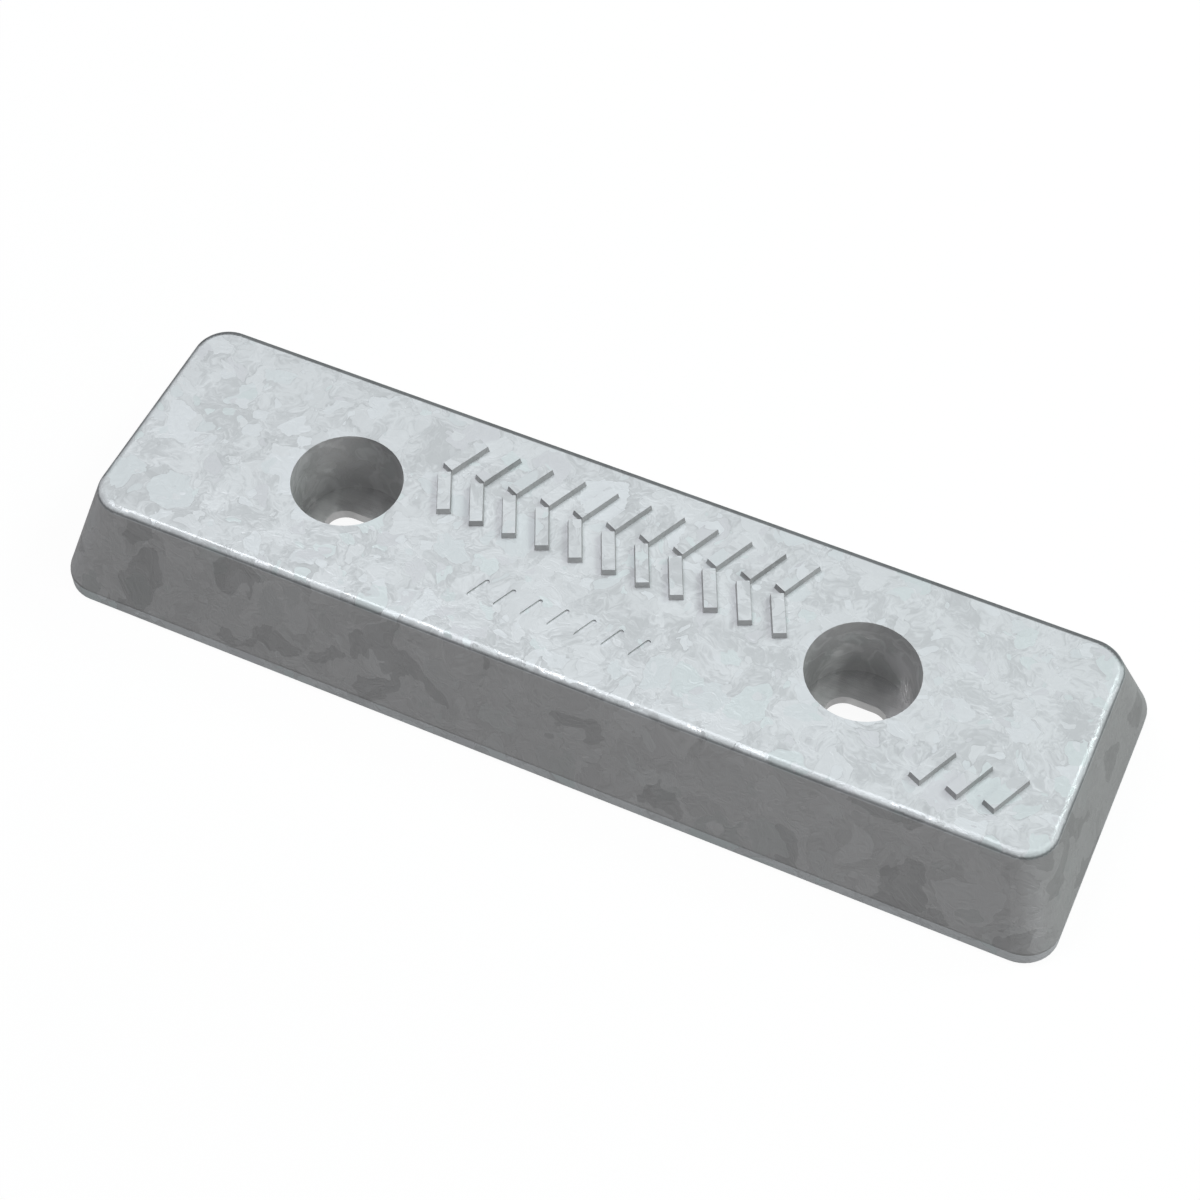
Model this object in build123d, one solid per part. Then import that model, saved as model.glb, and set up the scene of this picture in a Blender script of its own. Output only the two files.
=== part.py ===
from build123d import *
import os
from math import radians, tan

# Zinc hull anode: a drafted rounded bar, cast round a slotted steel mounting strip.
# Millimetres. The origin is the centre of the flat hull face, with +X along the bar
# and +Z pointing away from the hull.

# Cast body
base_length = 231.4
base_width = 73.0
base_corner_radius = 8.0
body_height = 25.6
land_height = 3.2           # upright band round the hull face
end_draft = 16.1            # slope of the two short sides, degrees from upright
side_draft = 21.1           # slope of the two long sides
top_corner_radius = 7.8
top_edge_radius = 2.0
land_edge_radius = 2.0      # soft edge where the band meets the slopes

# Hull studs, and the bore that gives room for the nut and washer on each
stud_spacing = 120.0
bore_diameter = 24.7
slot_width = 9.0            # clearance on an 8 mm stud
slot_length = 14.0

# Steel strip inside the casting
strip_thickness = 2.5
strip_height = 5.0          # from the hull face to the strip's underside
strip_seat = 2.65           # strip held in the zinc beside each bore
strip_overhang = 28.0       # from a stud's centre to the strip's end
strip_corner_radius = 2.0

# Raised bars on the outer face: two rows that lean opposite ways, and a few near one end
bar_length = 10.6
bar_width = 3.2
bar_height = 1.6
bar_draft = 8.0
bar_lean = 25.0             # from square across the casting, degrees
bar_pitch = 7.8             # between the centres of neighbouring bars
row_pitch = 10.8
bar_rows = 2
bar_bore_margin = 4.5       # least gap along the casting between the rows and a bore
bar_back_margin = 6.4       # from the back edge of the outer face to the rows
end_bars = 3
end_bar_inset = 20.6        # from the right end of the outer face to the end bars' centre
end_bar_front_inset = 12.2  # from the front edge of the outer face to the end bars' centre

# Row of shallow grooves in front of the bars
groove_count = 7
groove_length = 6.0
groove_width = 1.1
groove_depth = 0.4
groove_pitch = 6.2
groove_front_inset = 13.9   # from the front edge of the outer face
groove_shift = -2.8         # from the middle of the casting, along its length

# Worked out from the sizes above
slope_height = body_height - land_height
top_length = base_length - 2 * slope_height * tan(radians(end_draft))
top_width = base_width - 2 * slope_height * tan(radians(side_draft))
strip_length = stud_spacing + 2 * strip_overhang
strip_width = bore_diameter + 2 * strip_seat
stud_places = [(-stud_spacing / 2, 0), (stud_spacing / 2, 0)]


def drafted_bar():
    """The solid bar: an upright band, then sloping walls up to a rounded outer edge."""
    outline = RectangleRounded(base_length, base_width, base_corner_radius)
    top_outline = RectangleRounded(top_length, top_width, top_corner_radius)
    land = extrude(outline, land_height)
    slopes = loft([Pos(0, 0, land_height) * outline, Pos(0, 0, body_height) * top_outline], ruled=True)
    bar = land + slopes
    top_edges = bar.edges().filter_by_position(Axis.Z, body_height, body_height)
    bar = fillet(top_edges, top_edge_radius)
    land_edges = bar.edges().filter_by_position(Axis.Z, land_height, land_height)
    return fillet(land_edges, land_edge_radius)


def raised_bar(x, y, lean):
    """One straight bar with sloping walls, standing on the outer face."""
    outline = Rectangle(bar_width, bar_length)
    return Pos(x, y, body_height) * Rot(0, 0, lean) * extrude(outline, bar_height, taper=bar_draft)


def row_places(count, pitch, centre):
    """Evenly spaced places along the casting, centred on one point."""
    return [centre + (i - (count - 1) / 2) * pitch for i in range(count)]


def relief():
    """The leaning rows between the bores, and the few bars near the right end."""
    free_length = stud_spacing - bore_diameter - 2 * bar_bore_margin
    columns = int(free_length / bar_pitch)
    bars = []
    for row in range(bar_rows):
        y = top_width / 2 - bar_back_margin - (row + 0.5) * row_pitch
        lean = bar_lean if row % 2 else -bar_lean
        bars += [raised_bar(x, y, lean) for x in row_places(columns, bar_pitch, 0)]
    end_x = top_length / 2 - end_bar_inset
    end_y = end_bar_front_inset - top_width / 2
    bars += [raised_bar(x, end_y, -bar_lean) for x in row_places(end_bars, bar_pitch, end_x)]
    return bars


def grooves():
    """Shallow flat-bottomed grooves in a straight row, leaning like the back row of bars."""
    groove = Rot(0, 0, 90 - bar_lean) * extrude(SlotOverall(groove_length, groove_width), groove_depth)
    y = groove_front_inset - top_width / 2
    z = body_height - groove_depth
    return [Pos(x, y, z) * groove for x in row_places(groove_count, groove_pitch, groove_shift)]


def strip_blank():
    """The flat strip before its slots are punched, at its place in the casting."""
    outline = RectangleRounded(strip_length, strip_width, strip_corner_radius)
    return Pos(0, 0, strip_height) * extrude(outline, strip_thickness)


def mounting_strip():
    """The steel strip with an oblong slot at each stud, long side along the bar."""
    slot = extrude(SlotOverall(slot_length, slot_width), strip_thickness)
    return strip_blank() - [Pos(x, y, strip_height) * slot for x, y in stud_places]


def zinc_body():
    """The casting: bar and relief, with the bores cut through and the strip's bed left in it."""
    body = drafted_bar() + relief() - grooves()
    bore = extrude(Circle(bore_diameter / 2), body_height + bar_height)
    body -= [Pos(x, y, 0) * bore for x, y in stud_places]
    return body - strip_blank()


nodes = {"zinc_body": zinc_body(), "mounting_strip": mounting_strip()}

os.makedirs("parts", exist_ok=True)
for name, shape in nodes.items():
    export_step(shape, f"parts/{name}.step")
    print(name, round(shape.volume / 1000, 2), "cm3")
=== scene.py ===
from math import cos, radians, sin

import bpy
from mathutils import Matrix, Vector

# A zinc hull anode with a cast-in steel strip, on a white floor under soft overhead light.
# Metres, in the frame of the model: +X along the bar, +Z away from the hull face.

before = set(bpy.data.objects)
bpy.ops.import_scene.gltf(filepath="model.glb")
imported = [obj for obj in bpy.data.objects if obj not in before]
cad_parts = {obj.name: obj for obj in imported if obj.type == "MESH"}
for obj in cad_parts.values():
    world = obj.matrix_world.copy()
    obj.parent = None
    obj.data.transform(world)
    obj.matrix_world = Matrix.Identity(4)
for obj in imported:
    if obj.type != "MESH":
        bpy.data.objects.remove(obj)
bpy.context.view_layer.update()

# Camera, solved from the outline and the bore rims
view_azimuth = radians(24.54)
view_elevation = radians(54.68)
view_distance = 0.5413
view_target = Vector((-0.0005, 0.0021, 0.0128))
lens_mm = 75.08
sensor_mm = 36.0

# Floor and world
floor_half = 3.0
floor_colour = 0.08
floor_glow = 0.93           # under the object; it rises to 1 at the distance below
full_glow_distance = 1.8
world_fill = 0.02
fill_colour = (1.0, 0.97, 0.95, 1)
white = (1, 1, 1, 1)

# Soft lamps: direction from the object, size in metres, watts, colour
lamp_distance = 1.2
lamps = {
    "overhead": ((-0.14, 0.04, 0.98), 0.7, 5.8, (0.985, 1.0, 1.03)),
    "glint": ((-0.42, 0.05, 0.90), 0.36, 2.9, (1.0, 0.98, 1.0)),
    "back_right": ((0.465, 0.55, 0.69), 0.3, 2.75, (0.88, 1.0, 0.95)),
    "right": ((0.64, 0.0, 0.77), 0.8, 3.6, (0.95, 1.0, 0.97)),
    "front_right": ((0.90, -0.42, 0.12), 0.5, 1.7, (1.0, 0.97, 1.0)),
}

# Places on the casting that the zinc's look depends on
stud_place = 0.060
bore_radius = 0.0126
land_top = 0.0032
land_fade = 0.0002

# How each pattern is moved, so that no two of them line up
layer_shift = 0.7
layer_shift_step = 1.3
stain_shift = 2.9
patch_shift = 3.7
patchy_shift = 5.3
vein_shift = 6.2
gap_shift = 7.1
facet_shift = 9.4

# Zinc colour, and the mottled tone between the crystal islands
zinc_colour = (0.69, 0.715, 0.735)
drifts = [(0.014, 0.011), (0.005, 0.005)]   # noise size and push, in metres
fray = (0.0016, 0.0011)                     # the same, for the islands' winding edges
streak_size = 0.0030
patchy_size = 0.009
mottle_levels = (0.40, 0.58)
mottle_tones = (0.87, 1.02)
grain_strength = 0.12

# Crystal islands, lowest layer first: spacing in metres, least radius as a part of it, and how much
# larger the radius can get
island_layers = [(0.0105, 0.16, 0.42), (0.0068, 0.06, 0.44), (0.0040, 0.02, 0.38)]

# Tones of the islands, each from one level of a random number up
island_tones = [
    (0.0, (0.95, 0.99, 0.98)),
    (0.16, (1.0, 1.0, 1.0)),
    (0.42, (1.035, 1.04, 1.045)),
    (0.72, (0.965, 0.955, 0.965)),
    (0.86, (0.99, 1.01, 1.01)),
]
outline_width = 0.035
outline_shade = -0.07
gap_size = 0.006
gap_levels = (0.42, 0.56)
facet_size = 0.006

# Sloping walls, darkened by painted shade. A slope is the height of the surface's unit normal, here and
# below.
wall_slopes = (0.40, 0.55)
# painted shade: the sloping walls are coloured darker than the top
painted_wall_shade = (0.765, 0.74, 0.725)
plain_share = 0.65
plain_tone = (0.985, 0.985, 0.985)
patch_size = 0.012
patch_level = 0.62
patch_shade = -0.155

# Painted shade on the rounded outer edges, which also dulls their gloss
low_slopes = (0.60, 0.84)
low_start = (0.45, 0.58)
# painted shade: how dark the low part of the rounded edges is coloured
low_edge_shade = 0.56
back_slopes = (0.50, 0.85)
back_turn = (0.02, 0.20)
left_share = 0.28           # how far facing left counts as facing back
# painted shade: how dark the back and left rounded edges are coloured
back_edge_shade = 0.72

# Bore walls, with painted shade: darker towards the strip, lighter towards the rim
bore_slopes = (0.3, 0.6)
bore_heights = (0.005, 0.025)
# painted shade in the bores, from the bottom height to the top one
bore_shades = (0.55, 1.20)
vein_size = 0.013
vein_width = 0.08
vein_tones = (1.16, 0.99)

# Zinc gloss and lean
zinc_metal = 0.12
land_metal = 0.14
bore_metal = 0.04
zinc_roughness = 0.27
roughness_spread = 0.16
bore_roughness = 0.07
# more roughness where the rounded edges carry painted shade
shaded_edge_roughness = 0.6
flat_lean = 0.07
edge_lean = 0.24
edge_slopes = (0.93, 0.999)
edge_start = (0.45, 0.60)
zinc_bump = 0.00008

# Steel strip: its rolled faces and the punched walls of its slots
rolled_slopes = (0.5, 0.9)
rolled_tone = 0.80
punched_tone = 0.4
rolled_roughness = 0.10
punched_roughness = 0.4
line_stretch = (1, 12, 4)
line_size = 0.006
line_levels = (0.35, 0.65)
line_tones = (0.96, 1.04)
line_roughness = 0.10
line_bump = 0.00002
stain_size = 0.007
stain_levels = (0.40, 0.62)
stain_tones = (0.90, 1.05)


def direction(azimuth, elevation):
    """Unit vector from the object towards a viewer; azimuth 0 is in front, turning towards +X."""
    return Vector((sin(azimuth) * cos(elevation), -cos(azimuth) * cos(elevation), sin(elevation)))


def aim(obj, place, target):
    obj.location = place
    obj.rotation_euler = (target - place).to_track_quat("-Z", "Y").to_euler()


def add_camera():
    data = bpy.data.cameras.new("photo_camera")
    data.lens = lens_mm
    data.sensor_width = sensor_mm
    camera = bpy.data.objects.new("photo_camera", data)
    bpy.context.scene.collection.objects.link(camera)
    aim(camera, view_target + direction(view_azimuth, view_elevation) * view_distance, view_target)
    bpy.context.scene.camera = camera


def add_softbox(name, towards, size, power, colour):
    """A square soft lamp in one direction, that looks at the object."""
    data = bpy.data.lights.new(name, "AREA")
    data.shape = "SQUARE"
    data.size = size
    data.energy = power
    data.color = colour
    lamp = bpy.data.objects.new(name, data)
    bpy.context.scene.collection.objects.link(lamp)
    aim(lamp, view_target + Vector(towards).normalized() * lamp_distance, view_target)


def new_material(name):
    material = bpy.data.materials.new(name)
    material.use_nodes = True
    material.node_tree.nodes.clear()
    return material, material.node_tree


def add(tree, kind, inputs=None, **settings):
    """One shader node. Plain values are set on its sockets, and outputs of other nodes are linked."""
    node = tree.nodes.new(kind)
    for key, value in settings.items():
        setattr(node, key, value)
    for name, value in (inputs or {}).items():
        if isinstance(value, bpy.types.NodeSocket):
            tree.links.new(value, node.inputs[name])
        else:
            node.inputs[name].default_value = value
    return node


def calc(tree, operation, first, second=0.0, third=0.0):
    return add(tree, "ShaderNodeMath", {0: first, 1: second, 2: third}, operation=operation).outputs[0]


def product(tree, first, second):
    return calc(tree, "MULTIPLY", first, second)


def inverse(tree, value):
    return calc(tree, "SUBTRACT", 1.0, value)


def vector_calc(tree, operation, first, second=(0, 0, 0), third=(0, 0, 0)):
    inputs = {0: first, 1: second, 2: third}
    return add(tree, "ShaderNodeVectorMath", inputs, operation=operation).outputs[0]


def scaled(tree, vector, factor):
    """A colour or vector times one number."""
    return add(tree, "ShaderNodeVectorMath", {0: vector, "Scale": factor}, operation="SCALE").outputs[0]


def length(tree, vector):
    return add(tree, "ShaderNodeVectorMath", {0: vector}, operation="LENGTH").outputs["Value"]


def split(tree, vector):
    """A vector's outputs X, Y and Z."""
    return add(tree, "ShaderNodeSeparateXYZ", {0: vector}).outputs


def mixed(tree, factor, first, second):
    """The first vector where the factor is 0, the second where it is 1."""
    inputs = {"Factor": factor, 4: first, 5: second}
    return add(tree, "ShaderNodeMix", inputs, data_type="VECTOR").outputs[1]


def between(tree, value, low, high, first=0.0, last=1.0):
    """The first value below low, the last above high, with a smooth change from one to the other."""
    inputs = {"Value": value, "From Min": low, "From Max": high, "To Min": first, "To Max": last}
    return add(tree, "ShaderNodeMapRange", inputs, interpolation_type="SMOOTHSTEP").outputs[0]


def noise(tree, place, size, detail=2.0, distortion=0.0, output="Fac"):
    """Noise whose blotches are about size metres across."""
    inputs = {"Vector": place, "Scale": 1 / size, "Detail": detail, "Distortion": distortion}
    return add(tree, "ShaderNodeTexNoise", inputs).outputs[output]


def cells(tree, place, size):
    """Cells about size metres apart, each with a random colour and a distance from its centre."""
    return add(tree, "ShaderNodeTexVoronoi", {"Vector": place, "Scale": 1 / size}).outputs


def shifted(tree, place, shift):
    return vector_calc(tree, "ADD", place, (shift, shift, shift))


def centred(tree, colour):
    """A random colour as a vector round zero."""
    return vector_calc(tree, "SUBTRACT", colour, (0.5, 0.5, 0.5))


def warped(tree, place, size, amount):
    """The place, pushed about by noise of one size."""
    push = centred(tree, noise(tree, place, size, output="Color"))
    return vector_calc(tree, "MULTIPLY_ADD", push, (amount, amount, amount), place)


def finish_material(tree, shader):
    add(tree, "ShaderNodeOutputMaterial", {"Surface": shader.outputs[0]})


def seen_directly(tree):
    """1 on camera, glossy and transmission rays, 0 on the rays that carry diffuse light."""
    path = add(tree, "ShaderNodeLightPath")
    first = calc(tree, "MAXIMUM", path.outputs["Is Camera Ray"], path.outputs["Is Glossy Ray"])
    return calc(tree, "MAXIMUM", first, path.outputs["Is Transmission Ray"])


def add_floor():
    """A white floor that still takes the object's shadow: part glow, part plain diffuse."""
    corners = [(floor_half * x, floor_half * y, 0) for x, y in [(-1, -1), (1, -1), (1, 1), (-1, 1)]]
    mesh = bpy.data.meshes.new("floor")
    mesh.from_pydata(corners, [], [(0, 1, 2, 3)])
    floor = bpy.data.objects.new("floor", mesh)
    bpy.context.scene.collection.objects.link(floor)
    material, tree = new_material("floor_white")
    diffuse = add(tree, "ShaderNodeBsdfDiffuse", {"Color": (floor_colour, floor_colour, floor_colour, 1)})
    away = length(tree, add(tree, "ShaderNodeTexCoord").outputs["Object"])
    glow = between(tree, away, 0.0, full_glow_distance, floor_glow, 1.0)
    strength = product(tree, seen_directly(tree), glow)
    emission = add(tree, "ShaderNodeEmission", {"Color": white, "Strength": strength})
    finish_material(tree, add(tree, "ShaderNodeAddShader", {0: diffuse.outputs[0], 1: emission.outputs[0]}))
    mesh.materials.append(material)


def add_world():
    """White where it is seen or mirrored, and a faint warm fill for diffuse light."""
    world = bpy.data.worlds.new("studio")
    bpy.context.scene.world = world
    world.use_nodes = True
    tree = world.node_tree
    tree.nodes.clear()
    direct = seen_directly(tree)
    strength = between(tree, direct, 0.0, 1.0, world_fill, 1.0)
    colour = add(tree, "ShaderNodeMix", {"Factor": direct, 6: fill_colour, 7: white}, data_type="RGBA")
    background = add(tree, "ShaderNodeBackground", {"Color": colour.outputs[2], "Strength": strength})
    add(tree, "ShaderNodeOutputWorld", {"Surface": background.outputs[0]})


def steps(tree, value, levels):
    """One flat colour for each range of the value. The ramp holds half of it, as it ends at 1."""
    ramp = add(tree, "ShaderNodeValToRGB", {"Fac": value})
    bands = ramp.color_ramp
    bands.interpolation = "CONSTANT"
    for i, (level, colour) in enumerate(levels):
        band = bands.elements[i] if i < 2 else bands.elements.new(level)
        band.position = level
        band.color = (*[part / 2 for part in colour], 1)
    return scaled(tree, ramp.outputs["Color"], 2.0)


def mottle(tree, loose, streak):
    """The tone of the metal between the islands."""
    patchy = noise(tree, shifted(tree, loose, patchy_shift), patchy_size, 1.0)
    level = calc(tree, "ADD", product(tree, streak, 0.5), product(tree, patchy, 0.5))
    tone = between(tree, level, *mottle_levels, *mottle_tones)
    return add(tree, "ShaderNodeCombineXYZ", {0: tone, 1: tone, 2: tone}).outputs[0]


def islands(tree, place, ground):
    """Flat rounded islands laid over the ground tone, and the way that each of them leans."""
    tone = ground
    lean = centred(tree, cells(tree, shifted(tree, place, facet_shift), facet_size)["Color"])
    gaps = between(tree, noise(tree, shifted(tree, place, gap_shift), gap_size), *gap_levels)
    for i, (spacing, least, more) in enumerate(island_layers):
        cell = cells(tree, shifted(tree, place, layer_shift + layer_shift_step * i), spacing)
        random = add(tree, "ShaderNodeSeparateColor", {0: cell["Color"]}).outputs
        radius = calc(tree, "MULTIPLY_ADD", random[0], more, least)
        inside = calc(tree, "LESS_THAN", cell["Distance"], radius)
        near = calc(tree, "LESS_THAN", cell["Distance"], calc(tree, "ADD", radius, outline_width))
        beside = product(tree, calc(tree, "SUBTRACT", near, inside), gaps)
        tone = scaled(tree, tone, calc(tree, "MULTIPLY_ADD", beside, outline_shade, 1.0))
        tone = mixed(tree, inside, tone, steps(tree, random[1], island_tones))
        lean = mixed(tree, inside, lean, centred(tree, cell["Color"]))
    return tone, lean


def in_bores(tree, parts, facing):
    """1 on the bore walls, found by the distance from the nearer stud."""
    from_stud = calc(tree, "SUBTRACT", calc(tree, "ABSOLUTE", parts["X"]), stud_place)
    flat = add(tree, "ShaderNodeCombineXYZ", {0: from_stud, 1: parts["Y"]}).outputs[0]
    upright = between(tree, facing["Z"], *bore_slopes, 1.0, 0.0)
    return product(tree, calc(tree, "LESS_THAN", length(tree, flat), bore_radius), upright)


def on_walls(tree, tone, wall, bore, ragged):
    """Painted shade makes the sloping walls darker; they are also plainer, and the outer ones have a few
    dark patches.
    """
    tone = mixed(tree, product(tree, wall, plain_share), tone, plain_tone)
    # painted shade: the walls are coloured darker than the top
    tone = vector_calc(tree, "MULTIPLY", tone, mixed(tree, wall, (1, 1, 1), painted_wall_shade))
    patch = noise(tree, shifted(tree, ragged, patch_shift), patch_size, 1.0)
    patch = calc(tree, "GREATER_THAN", patch, patch_level)
    outer_wall = product(tree, wall, inverse(tree, bore))
    shade = product(tree, product(tree, patch, outer_wall), patch_shade)
    return scaled(tree, tone, calc(tree, "ADD", shade, 1.0))


def painted_edge_shade(tree, facing):
    """Painted shade low on the rounded outer edges, and higher up along the back and the left one."""
    low_edge = between(tree, facing["Z"], *low_slopes, low_edge_shade, 0.0)
    low_edge = product(tree, low_edge, between(tree, facing["Z"], *low_start))
    back_side = calc(tree, "MULTIPLY_ADD", facing["X"], -left_share, facing["Y"])
    back_edge = between(tree, back_side, *back_turn, 0.0, back_edge_shade)
    back_edge = product(tree, back_edge, between(tree, facing["Z"], *back_slopes))
    return calc(tree, "MAXIMUM", low_edge, back_edge)


def bore_shade_and_veins(tree, parts, loose):
    """Painted shade on the bore walls, darker towards the strip and lighter towards the rim, with pale
    veins.
    """
    depth = between(tree, parts["Z"], *bore_heights, *bore_shades)
    level = noise(tree, shifted(tree, loose, vein_shift), vein_size, 2.0, 1.4)
    from_vein = calc(tree, "ABSOLUTE", calc(tree, "SUBTRACT", level, 0.5))
    return product(tree, depth, between(tree, from_vein, 0.0, vein_width, *vein_tones))


def leaning(tree, facing, lean, normal, streak):
    """Islands lean a little, and more on the rounded edges, which breaks their highlight up."""
    rounded = between(tree, facing["Z"], *edge_slopes, 1.0, 0.0)
    rounded = product(tree, rounded, between(tree, facing["Z"], *edge_start))
    amount = calc(tree, "MULTIPLY_ADD", rounded, edge_lean, flat_lean)
    tilted = vector_calc(tree, "NORMALIZE", vector_calc(tree, "ADD", scaled(tree, lean, amount), normal))
    bump = {"Height": streak, "Distance": zinc_bump, "Normal": tilted}
    return add(tree, "ShaderNodeBump", bump).outputs[0]


def zinc_material():
    """Cast zinc: flat crystal islands with crisp winding edges, each leaning a little its own way."""
    material, tree = new_material("cast_zinc")
    place = add(tree, "ShaderNodeTexCoord").outputs["Object"]
    normal = add(tree, "ShaderNodeNewGeometry").outputs["Normal"]
    parts = split(tree, place)
    facing = split(tree, normal)

    loose = place
    for size, push in drifts:
        loose = warped(tree, loose, size, push)
    ragged = warped(tree, loose, *fray)
    streak = noise(tree, loose, streak_size, 4.0, 2.5)
    tone, lean = islands(tree, ragged, mottle(tree, loose, streak))

    bore = in_bores(tree, parts, facing)
    land = between(tree, parts["Z"], land_top - land_fade, land_top, 1.0, 0.0)
    # the land band is left out of the walls, and so out of their painted shade
    wall = product(tree, between(tree, facing["Z"], *wall_slopes, 1.0, 0.0), inverse(tree, land))
    # painted shade on the rounded edges, taken off the colour and the gloss below
    edge_shade = painted_edge_shade(tree, facing)
    unshaded = inverse(tree, edge_shade)

    # painted shade on the sloping walls, with their plainer tone and dark patches
    tone = on_walls(tree, tone, wall, bore, ragged)
    colour = vector_calc(tree, "MULTIPLY", tone, zinc_colour)
    grain = calc(tree, "MULTIPLY_ADD", calc(tree, "SUBTRACT", streak, 0.5), grain_strength, 1.0)
    colour = scaled(tree, colour, grain)
    # painted edge shade
    colour = scaled(tree, colour, unshaded)
    # painted shade in the bores, with their pale veins
    colour = scaled(tree, colour, between(tree, bore, 0.0, 1.0, 1.0, bore_shade_and_veins(tree, parts, loose)))

    metallic = calc(tree, "MULTIPLY_ADD", land, land_metal, zinc_metal)
    metallic = calc(tree, "MULTIPLY_ADD", bore, bore_metal, metallic)
    metallic = product(tree, metallic, product(tree, unshaded, unshaded))
    roughness = calc(tree, "MULTIPLY_ADD", split(tree, lean)["X"], roughness_spread, zinc_roughness)
    roughness = calc(tree, "MULTIPLY_ADD", bore, bore_roughness, roughness)
    roughness = calc(tree, "MULTIPLY_ADD", edge_shade, shaded_edge_roughness, roughness)
    normal = leaning(tree, facing, lean, normal, streak)

    inputs = {"Base Color": colour, "Metallic": metallic, "Roughness": roughness, "Normal": normal}
    inputs["Specular IOR Level"] = 0.0
    finish_material(tree, add(tree, "ShaderNodeBsdfPrincipled", inputs))
    return material


def steel_material():
    """Smooth rolled strip; the punched walls of its slots are duller."""
    material, tree = new_material("strip_steel")
    place = add(tree, "ShaderNodeTexCoord").outputs["Object"]
    facing = split(tree, add(tree, "ShaderNodeNewGeometry").outputs["Normal"])
    rolled = between(tree, calc(tree, "ABSOLUTE", facing["Z"]), *rolled_slopes)
    lines = noise(tree, vector_calc(tree, "MULTIPLY", place, line_stretch), line_size, 3.0)
    stain = noise(tree, shifted(tree, place, stain_shift), stain_size, 3.0, 0.6)
    tone = between(tree, rolled, 0.0, 1.0, punched_tone, rolled_tone)
    tone = product(tree, tone, between(tree, lines, *line_levels, *line_tones))
    tone = product(tree, tone, between(tree, stain, *stain_levels, *stain_tones))
    colour = add(tree, "ShaderNodeCombineColor", {0: tone, 1: tone, 2: tone}).outputs[0]
    roughness = between(tree, rolled, 0.0, 1.0, punched_roughness, rolled_roughness)
    roughness = calc(tree, "MULTIPLY_ADD", lines, line_roughness, roughness)
    normal = add(tree, "ShaderNodeBump", {"Height": lines, "Distance": line_bump}).outputs[0]
    inputs = {"Base Color": colour, "Metallic": 1.0, "Roughness": roughness, "Normal": normal}
    finish_material(tree, add(tree, "ShaderNodeBsdfPrincipled", inputs))
    return material


def dress(node, material):
    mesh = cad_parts[node].data
    mesh.materials.clear()
    mesh.materials.append(material)


add_camera()
add_floor()
add_world()
for name, settings in lamps.items():
    add_softbox(name, *settings)
dress("zinc_body", zinc_material())
dress("mounting_strip", steel_material())

bpy.context.scene.view_settings.view_transform = "Standard"
